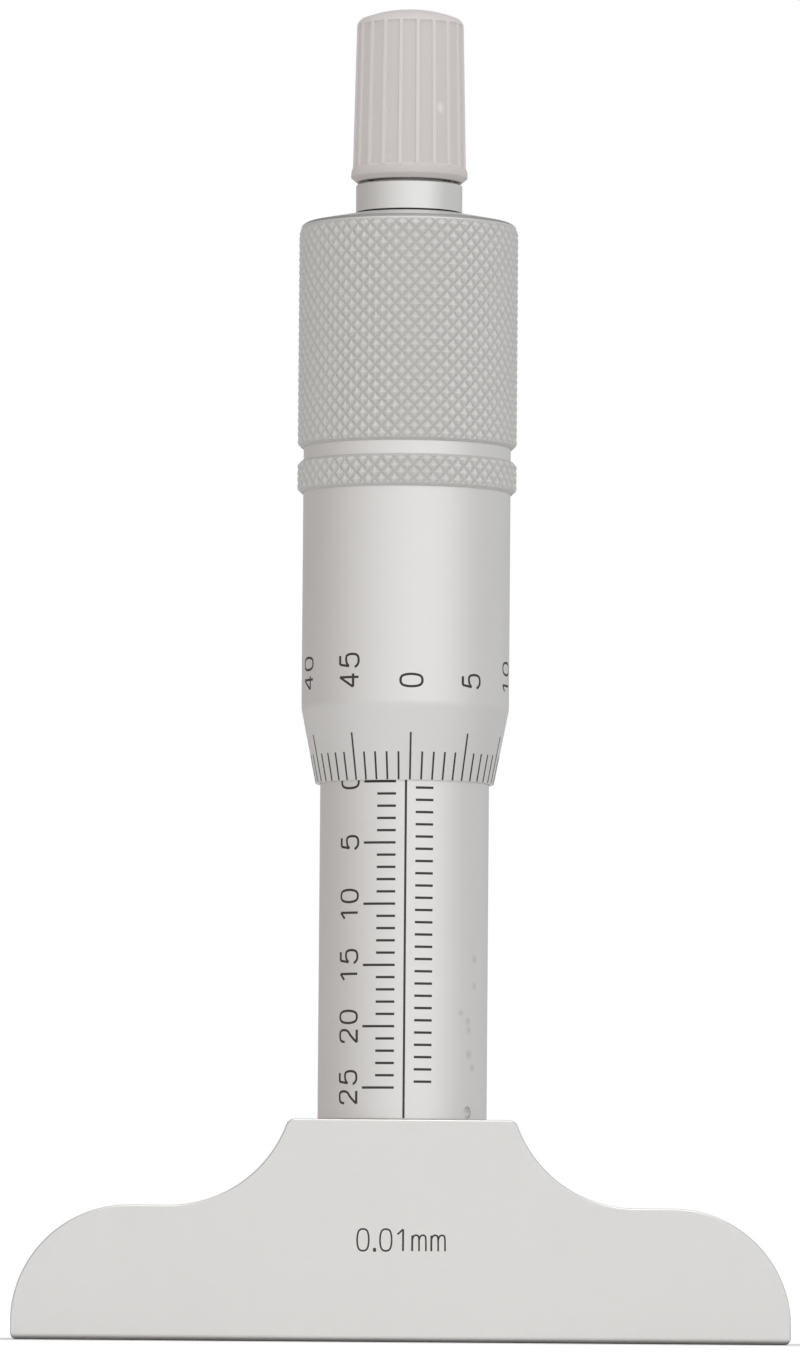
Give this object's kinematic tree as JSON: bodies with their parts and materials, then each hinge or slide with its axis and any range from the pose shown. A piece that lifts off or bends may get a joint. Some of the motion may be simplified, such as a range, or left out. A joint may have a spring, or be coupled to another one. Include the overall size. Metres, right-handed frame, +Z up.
{
  "type": "depth micrometer",
  "caption": "Depth micrometer for 0 to 25 mm: bridge base with rounded wings, graduated sleeve, knurled thimble, sliding rod and ribbed ratchet knob.",
  "frame": {"origin": "on the reference face of the base, on the axis of the measuring rod, which is level with that face at rest", "axes": "+Z up along the spindle from the reference face to the knob, X along the base, the scale faces -Y"},
  "size_m": [0.0636, 0.0182, 0.11],
  "materials": {
    "ground_steel": "fine ground, satin",
    "turned_steel": "turned",
    "lapped_steel": "hardened, ground and lapped",
    "spring_steel": "drawn wire",
    "satin_chrome": "satin chrome plated",
    "grey_plastic": "moulded, fine matt, warm light grey"
  },
  "bodies": {
    "base": {"base": "ground_steel", "inner_sleeve": "turned_steel", "adjusting_nut": "turned_steel"},
    "outer_sleeve": {"outer_sleeve": "satin_chrome"},
    "spindle": {"spindle": "lapped_steel"},
    "thimble": {"thimble": "satin_chrome", "ratchet_body": "satin_chrome", "retaining_washer": "turned_steel", "retaining_screw": "turned_steel"},
    "ratchet_knob": {"ratchet_cap": "grey_plastic", "ratchet_sleeve": "turned_steel", "ratchet_spring": "spring_steel"},
    "clutch_ring": {"clutch_ring": "turned_steel"}
  },
  "joints": [
    {"name": "spindle_advance", "type": "slide", "parent": "base", "child": "spindle", "axis": [0, 0, -1], "range_m": [0, 0.025]},
    {"name": "thimble_turn", "type": "hinge", "parent": "spindle", "child": "thimble", "pos_m": [0, 0, 0.07], "axis": [0, 0, -1], "range_deg": [0, 18000]},
    {"name": "sleeve_zero_set", "type": "hinge", "parent": "base", "child": "outer_sleeve", "pos_m": [0, 0, 0.035], "axis": [0, 0, 1], "range_deg": [-7.2, 7.2]},
    {"name": "knob_turn", "type": "hinge", "parent": "thimble", "child": "ratchet_knob", "pos_m": [0, 0, 0.1], "axis": [0, 0, -1], "continuous": true},
    {"name": "clutch_drop", "type": "slide", "parent": "ratchet_knob", "child": "clutch_ring", "axis": [0, 0, -1], "range_m": [0, 0.00047], "stiffness_N_per_m": 500, "deforming": ["ratchet_spring"]}
  ],
  "couplings": [
    {"joint": "thimble_turn", "follows": "spindle_advance", "rad_per_m": 12566}
  ]
}
